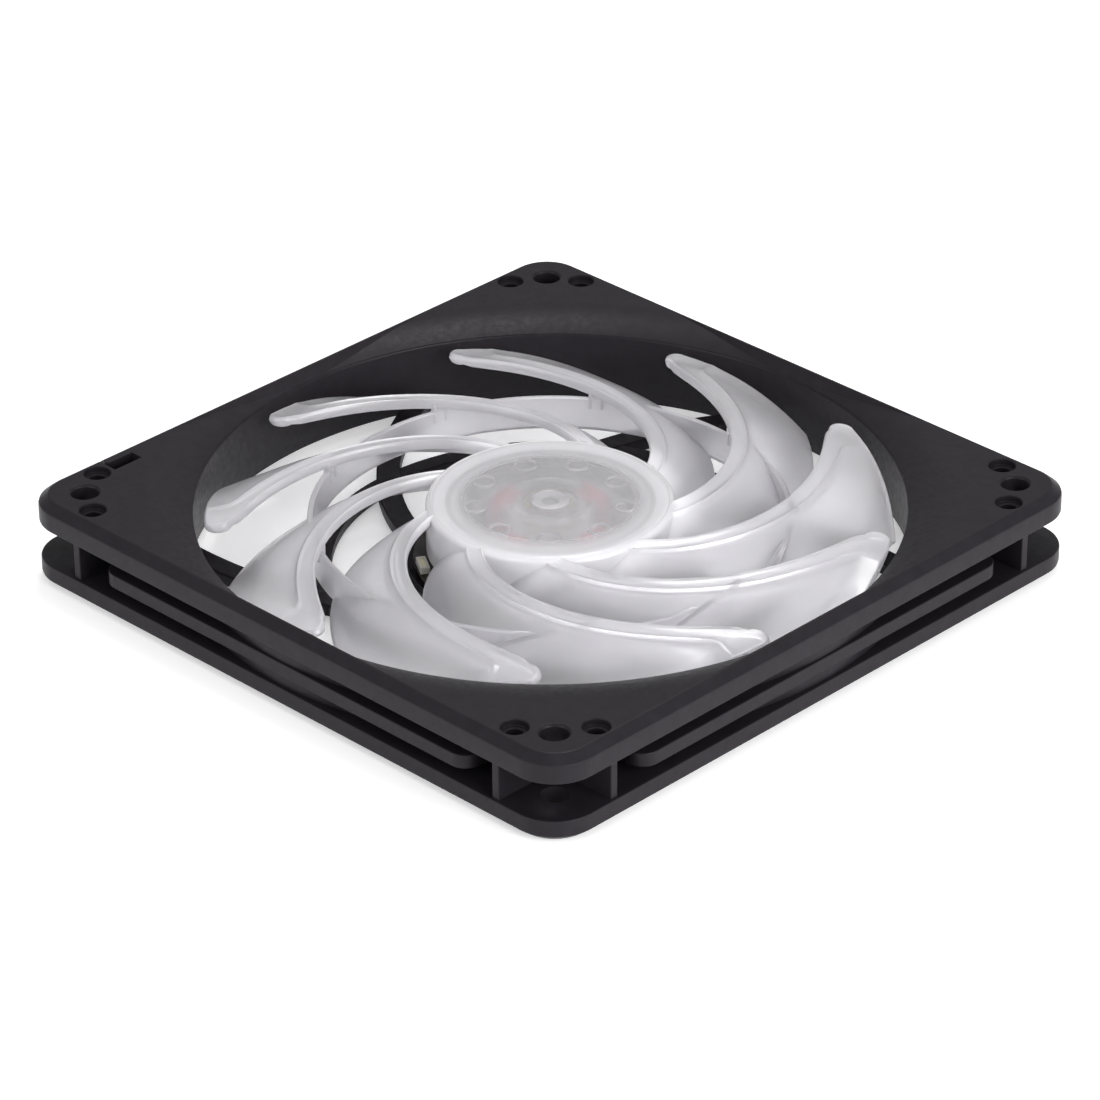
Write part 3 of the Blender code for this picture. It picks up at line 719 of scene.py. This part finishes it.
def blade(tip_angle):
    """Closed twisted sheet, its two sides meeting along every edge but the root."""
    bm = bmesh.new()
    top, bottom = [], []
    rows = blade_rows()
    for r in rows:
        angles = blade_angles(r)
        high_row, low_row = [], []
        for j, angle in enumerate(angles):
            here, normal, half, lift = blade_section(r, angle, tip_angle)
            edge = j in (0, len(angles) - 1) or r == rows[-1]
            upper = bm.verts.new(here + normal * (half + (0.0 if edge else lift)))
            high_row.append(upper)
            low_row.append(upper if edge
                           else bm.verts.new(here - normal * (half + lift * LIP_UNDER)))
        top.append(high_row)
        bottom.append(low_row)
    for a0, a1, b0, b1 in zip(top, top[1:], bottom, bottom[1:]):
        for j in range(len(a0) - 1):
            bm.faces.new((a0[j], a1[j], a1[j + 1], a0[j + 1]))
            lower = list(dict.fromkeys((b0[j], b0[j + 1], b1[j + 1], b1[j])))
            if set(lower) != {a0[j], a0[j + 1], a1[j], a1[j + 1]}:
                bm.faces.new(lower)
    bm.faces.new(list(dict.fromkeys(top[0] + bottom[0][::-1])))
    return bm


def hub_profile():
    """Hub cup: out along its inside, round the skirt and back in over the top."""
    soft = 0.2
    skirt_r, skirt_z = HUB_SKIRT
    boss_r, boss_z = HUB_BOSS
    seat_r, seat_z = BUSH_SEAT
    rib_in, rib_out, rib_z = YOKE_SEAT
    inside = [(0.0, seat_z), (seat_r - 0.5, seat_z), (seat_r, seat_z - 0.1), (seat_r, boss_z),
              (boss_r, boss_z), (boss_r, HUB_PLATE_Z), (rib_in, HUB_PLATE_Z), (rib_in, rib_z),
              (rib_out, rib_z), (rib_out, HUB_PLATE_Z), (skirt_r, HUB_PLATE_Z)]
    skirt = [(skirt_r, skirt_z + soft), (skirt_r + soft, skirt_z), (HUB_R - soft, skirt_z),
             (HUB_R, skirt_z + soft)]
    rim = arc(HUB_R - HUB_RIM_R, HUB_TOP - 0.05 - HUB_RIM_R, HUB_RIM_R, 0.0, 75.0, 6)
    r, deep = HUB_GROOVE
    groove = [(r + 0.15, HUB_TOP - 0.04), (r, HUB_TOP - deep), (r - 0.15, HUB_TOP - 0.05),
              (r - 0.8, HUB_TOP - 0.06)]
    low, high = HUB_RIDGE_R
    ridge = [(high, HUB_FACE), (high - 0.3, HUB_TOP - 0.02), (low + 0.3, HUB_TOP - 0.02),
             (low, HUB_FACE)]
    low, high = HUB_COLLAR_R
    collar = [(high, HUB_FACE), (high - 0.2, HUB_TOP), (low + 0.2, HUB_TOP),
              (low, HUB_TOP - 0.1), (0.0, HUB_TOP - 0.1)]
    return inside + skirt + rim + groove + ridge + collar


def hub_marks():
    """Ring grooves under the hub's top plate, as many as there are blades."""
    inner, outer = MARK_R
    low, high = HUB_PLATE_Z - 0.2, HUB_PLATE_Z + MARK_DEPTH
    marks = []
    for k in range(BLADES):
        ring = lathe(((inner, low), (outer, low), (outer - 0.1, high), (inner + 0.1, high)),
                     MARK_SIDES)
        marks.append(turned(ring, FIRST_MARK + 360.0 / BLADES * k, MARK_AT))
    return marks


def post():
    """Where the ring climbs to a leading edge: a block with a rib down each side."""
    near, far = RING_R[0] + 0.05, RING_R[1] - 0.05
    rib_near, rib_far = RING_R[0] - POST_PROUD, RING_R[1] + POST_PROUD
    waist, end = POST_HALF - POST_RIB, POST_HALF + POST_RIB
    outline = [(near, -waist), (near, waist), (rib_near, waist), (rib_near, end),
               (rib_far, end), (rib_far, waist), (far, waist), (far, -waist),
               (rib_far, -waist), (rib_far, -end), (rib_near, -end), (rib_near, -waist)]
    return prism(outline[::-1], RING_Z[1] - POST_DEPTH, POST_TOP, 0.07)


def build_impeller(material):
    hub = raw_object("impeller_moulding", lathe(hub_profile(), ROUND))
    combine(hub, hub_marks(), "DIFFERENCE")
    tips = [FIRST_TIP + 360.0 / BLADES * k for k in range(BLADES)]
    blades = [blade(tip) for tip in tips]
    posts = [turned(post(), tip + lead_angle(RING_R[0]) - POST_LAG) for tip in tips]
    ring = soft_ring(*RING_R, *RING_Z, RING_SOFT, FINE)
    combine(hub, blades + posts + [ring], "UNION")
    return dress(hub, material, "rotor", "frosted_moulding", "impeller", sharp=38.0)


# ---------------------------------------------------------------- motor
def wire_point(share):
    """Point of a coil's wire at a share of its length: layers of turns round its pole."""
    layer = len(WIRE_LAYERS) * min(share, 0.9999)
    beside, above = WIRE_LAYERS[int(layer)]
    sweep = layer % 1.0 if int(layer) % 2 == 0 else 1.0 - layer % 1.0
    near, far = COIL_R[0] + WIRE / 2, COIL_R[1] - WIRE / 2
    c, s = cos(2 * pi * WIRE_TURNS * share), sin(2 * pi * WIRE_TURNS * share)
    square = (c ** 4 + s ** 4) ** -0.25
    return Vector((near + (far - near) * sweep, (COIL_HOLE[0] + beside) * square * c,
                   COIL_MIDDLE_Z + (COIL_HOLE[1] + above) * square * s))


def build_windings(material):
    """Coils of round wire, one on each pole."""
    count = WIRE_TURNS * WIRE_STEPS
    for k in range(POLES):
        name = f"winding_{k + 1}"
        curve = bpy.data.curves.new(name, "CURVE")
        curve.dimensions = "3D"
        curve.bevel_depth = WIRE / 2 * MM
        curve.bevel_resolution = 2
        curve.use_fill_caps = True
        spline = curve.splines.new("POLY")
        spline.points.add(count)
        turn = Matrix.Rotation(radians(FIRST_POLE + 360.0 / POLES * k), 3, "Z")
        for i, point in enumerate(spline.points):
            point.co = (*(turn @ wire_point(i / count) * MM), 1.0)
        wire = bpy.data.objects.new(name, curve)
        SCENE.collection.objects.link(wire)
        graph = bpy.context.evaluated_depsgraph_get()
        mesh = bpy.data.meshes.new_from_object(wire.evaluated_get(graph))
        bpy.data.objects.remove(wire, do_unlink=True)
        coil = bpy.data.objects.new(name, mesh)
        SCENE.collection.objects.link(coil)
        dress(coil, material, "housing", "enamelled_copper", f"coil_{k + 1}")


def led_block(angle, inset_x, inset_y, z0, z1, soft):
    """Block on the board at an LED's place, this much smaller than the LED on each side."""
    length, width = LED_SIZE
    x, y = width / 2 - inset_x, length / 2 - inset_y
    return turned(box(-x, x, -y, y, z0, z1, soft), angle, LED_R)


def build_leds(package, phosphor):
    """Surface-mount LEDs: a white package with a shallow window of phosphor."""
    low, high = (corner.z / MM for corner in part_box("led_1"))
    side, end = LED_WALL
    floor = high - LED_WINDOW_DEPTH
    for k in range(LED_COUNT):
        angle = FIRST_LED + 360.0 / LED_COUNT * k
        lamp = raw_object(f"led_package_{k + 1}", led_block(angle, 0.0, 0.0, low, high, 0.1))
        window = led_block(angle, side, end, floor, high + CLEAR, 0.08)
        combine(lamp, [window], "DIFFERENCE")
        dress(lamp, package, "housing", "led_package", f"led_{k + 1}")
        glass = led_block(angle, side + 0.02, end + 0.02, floor - 0.05, high - 0.03, 0.06)
        lens = raw_object(f"led_window_{k + 1}", glass)
        dress(lens, phosphor, "housing", "led_package")


def dress_cad(materials):
    """CAD nodes whose shape is right keep it and take a finished material."""
    slots = {row["node"]: row["material_slot"] for row in frame["record"]["subparts"]}
    for name, obj in frame["nodes"].items():
        if obj.hide_render:
            continue
        obj.data.materials.clear()
        obj.data.materials.append(materials[slots[name]])


# ---------------------------------------------------------------- stage, in metres
# Lights: place, size and power; each looks at the origin.
LIGHTS = {"key": ((-0.25, 0.45, 1.2), 0.4, 5.6),
          "side": ((1.0, 0.0, 0.35), 0.7, 12.0),
          "front": ((-0.1, -1.0, 0.4), 0.7, 4.8)}
FLOOR_HALF = 2.0
FLOOR_Z = (-0.002, -0.00002)
FLOOR_SHADE = 0.93
FLOOR_GLOW = 0.36
SKY_STRENGTH = 0.5
CAMERA_AZIMUTH, CAMERA_ELEVATION, CAMERA_ROLL = 44.73, 29.80, -0.415
CAMERA_DISTANCE = 0.8722
CAMERA_AIM = Vector((-0.00434, 0.00423, 0.0))
CAMERA_LENS = 176.25


def build_stage():
    half, low, high = (size / MM for size in (FLOOR_HALF, *FLOOR_Z))
    floor = raw_object("floor", box(-half, half, -half, half, low, high))
    material, _ = new_material("floor_white", Base_Color=(FLOOR_SHADE,) * 3, Roughness=0.9,
                               Emission_Color=(1.0, 1.0, 1.0), Emission_Strength=FLOOR_GLOW)
    floor.data.materials.append(material)

    world = bpy.data.worlds.new("studio")
    world.use_nodes = True
    backdrop = world.node_tree.nodes["Background"]
    backdrop.inputs["Color"].default_value = (1.0, 1.0, 1.0, 1.0)
    backdrop.inputs["Strength"].default_value = SKY_STRENGTH
    SCENE.world = world
    for name, (place, size, power) in LIGHTS.items():
        add_light(name, place, size, power)
    SCENE.view_settings.view_transform = "Standard"


def add_light(name, place, size, power):
    data = bpy.data.lights.new(name, "AREA")
    data.energy = power
    data.size = size
    lamp = bpy.data.objects.new(name, data)
    lamp.location = place
    lamp.rotation_euler = (-Vector(place)).to_track_quat("-Z", "Y").to_euler()
    SCENE.collection.objects.link(lamp)


def build_camera():
    """The photograph's view, fitted to the mounting holes and the outline."""
    azimuth, elevation = radians(CAMERA_AZIMUTH), radians(CAMERA_ELEVATION)
    roll = radians(CAMERA_ROLL)
    back = Vector((sin(azimuth) * cos(elevation), -cos(azimuth) * cos(elevation), sin(elevation)))
    level = Vector((cos(azimuth), sin(azimuth), 0.0))
    up = back.cross(level)
    right = level * cos(roll) + up * sin(roll)
    up = up * cos(roll) - level * sin(roll)
    data = bpy.data.cameras.new("camera")
    data.sensor_width = 36.0
    data.lens = CAMERA_LENS
    data.clip_start = 0.01
    camera = bpy.data.objects.new("camera", data)
    camera.matrix_world = Matrix.Translation(CAMERA_AIM + back * CAMERA_DISTANCE) @ Matrix(
        (right, up, back)).transposed().to_4x4()
    SCENE.collection.objects.link(camera)
    SCENE.camera = camera


build_camera()
build_stage()
materials = make_materials()
build_frame(materials["black_moulding"])
build_impeller(materials["frosted_moulding"])
build_windings(materials["enamelled_copper"])
build_leds(materials["led_package"], materials["led_phosphor"])
dress_cad(materials)
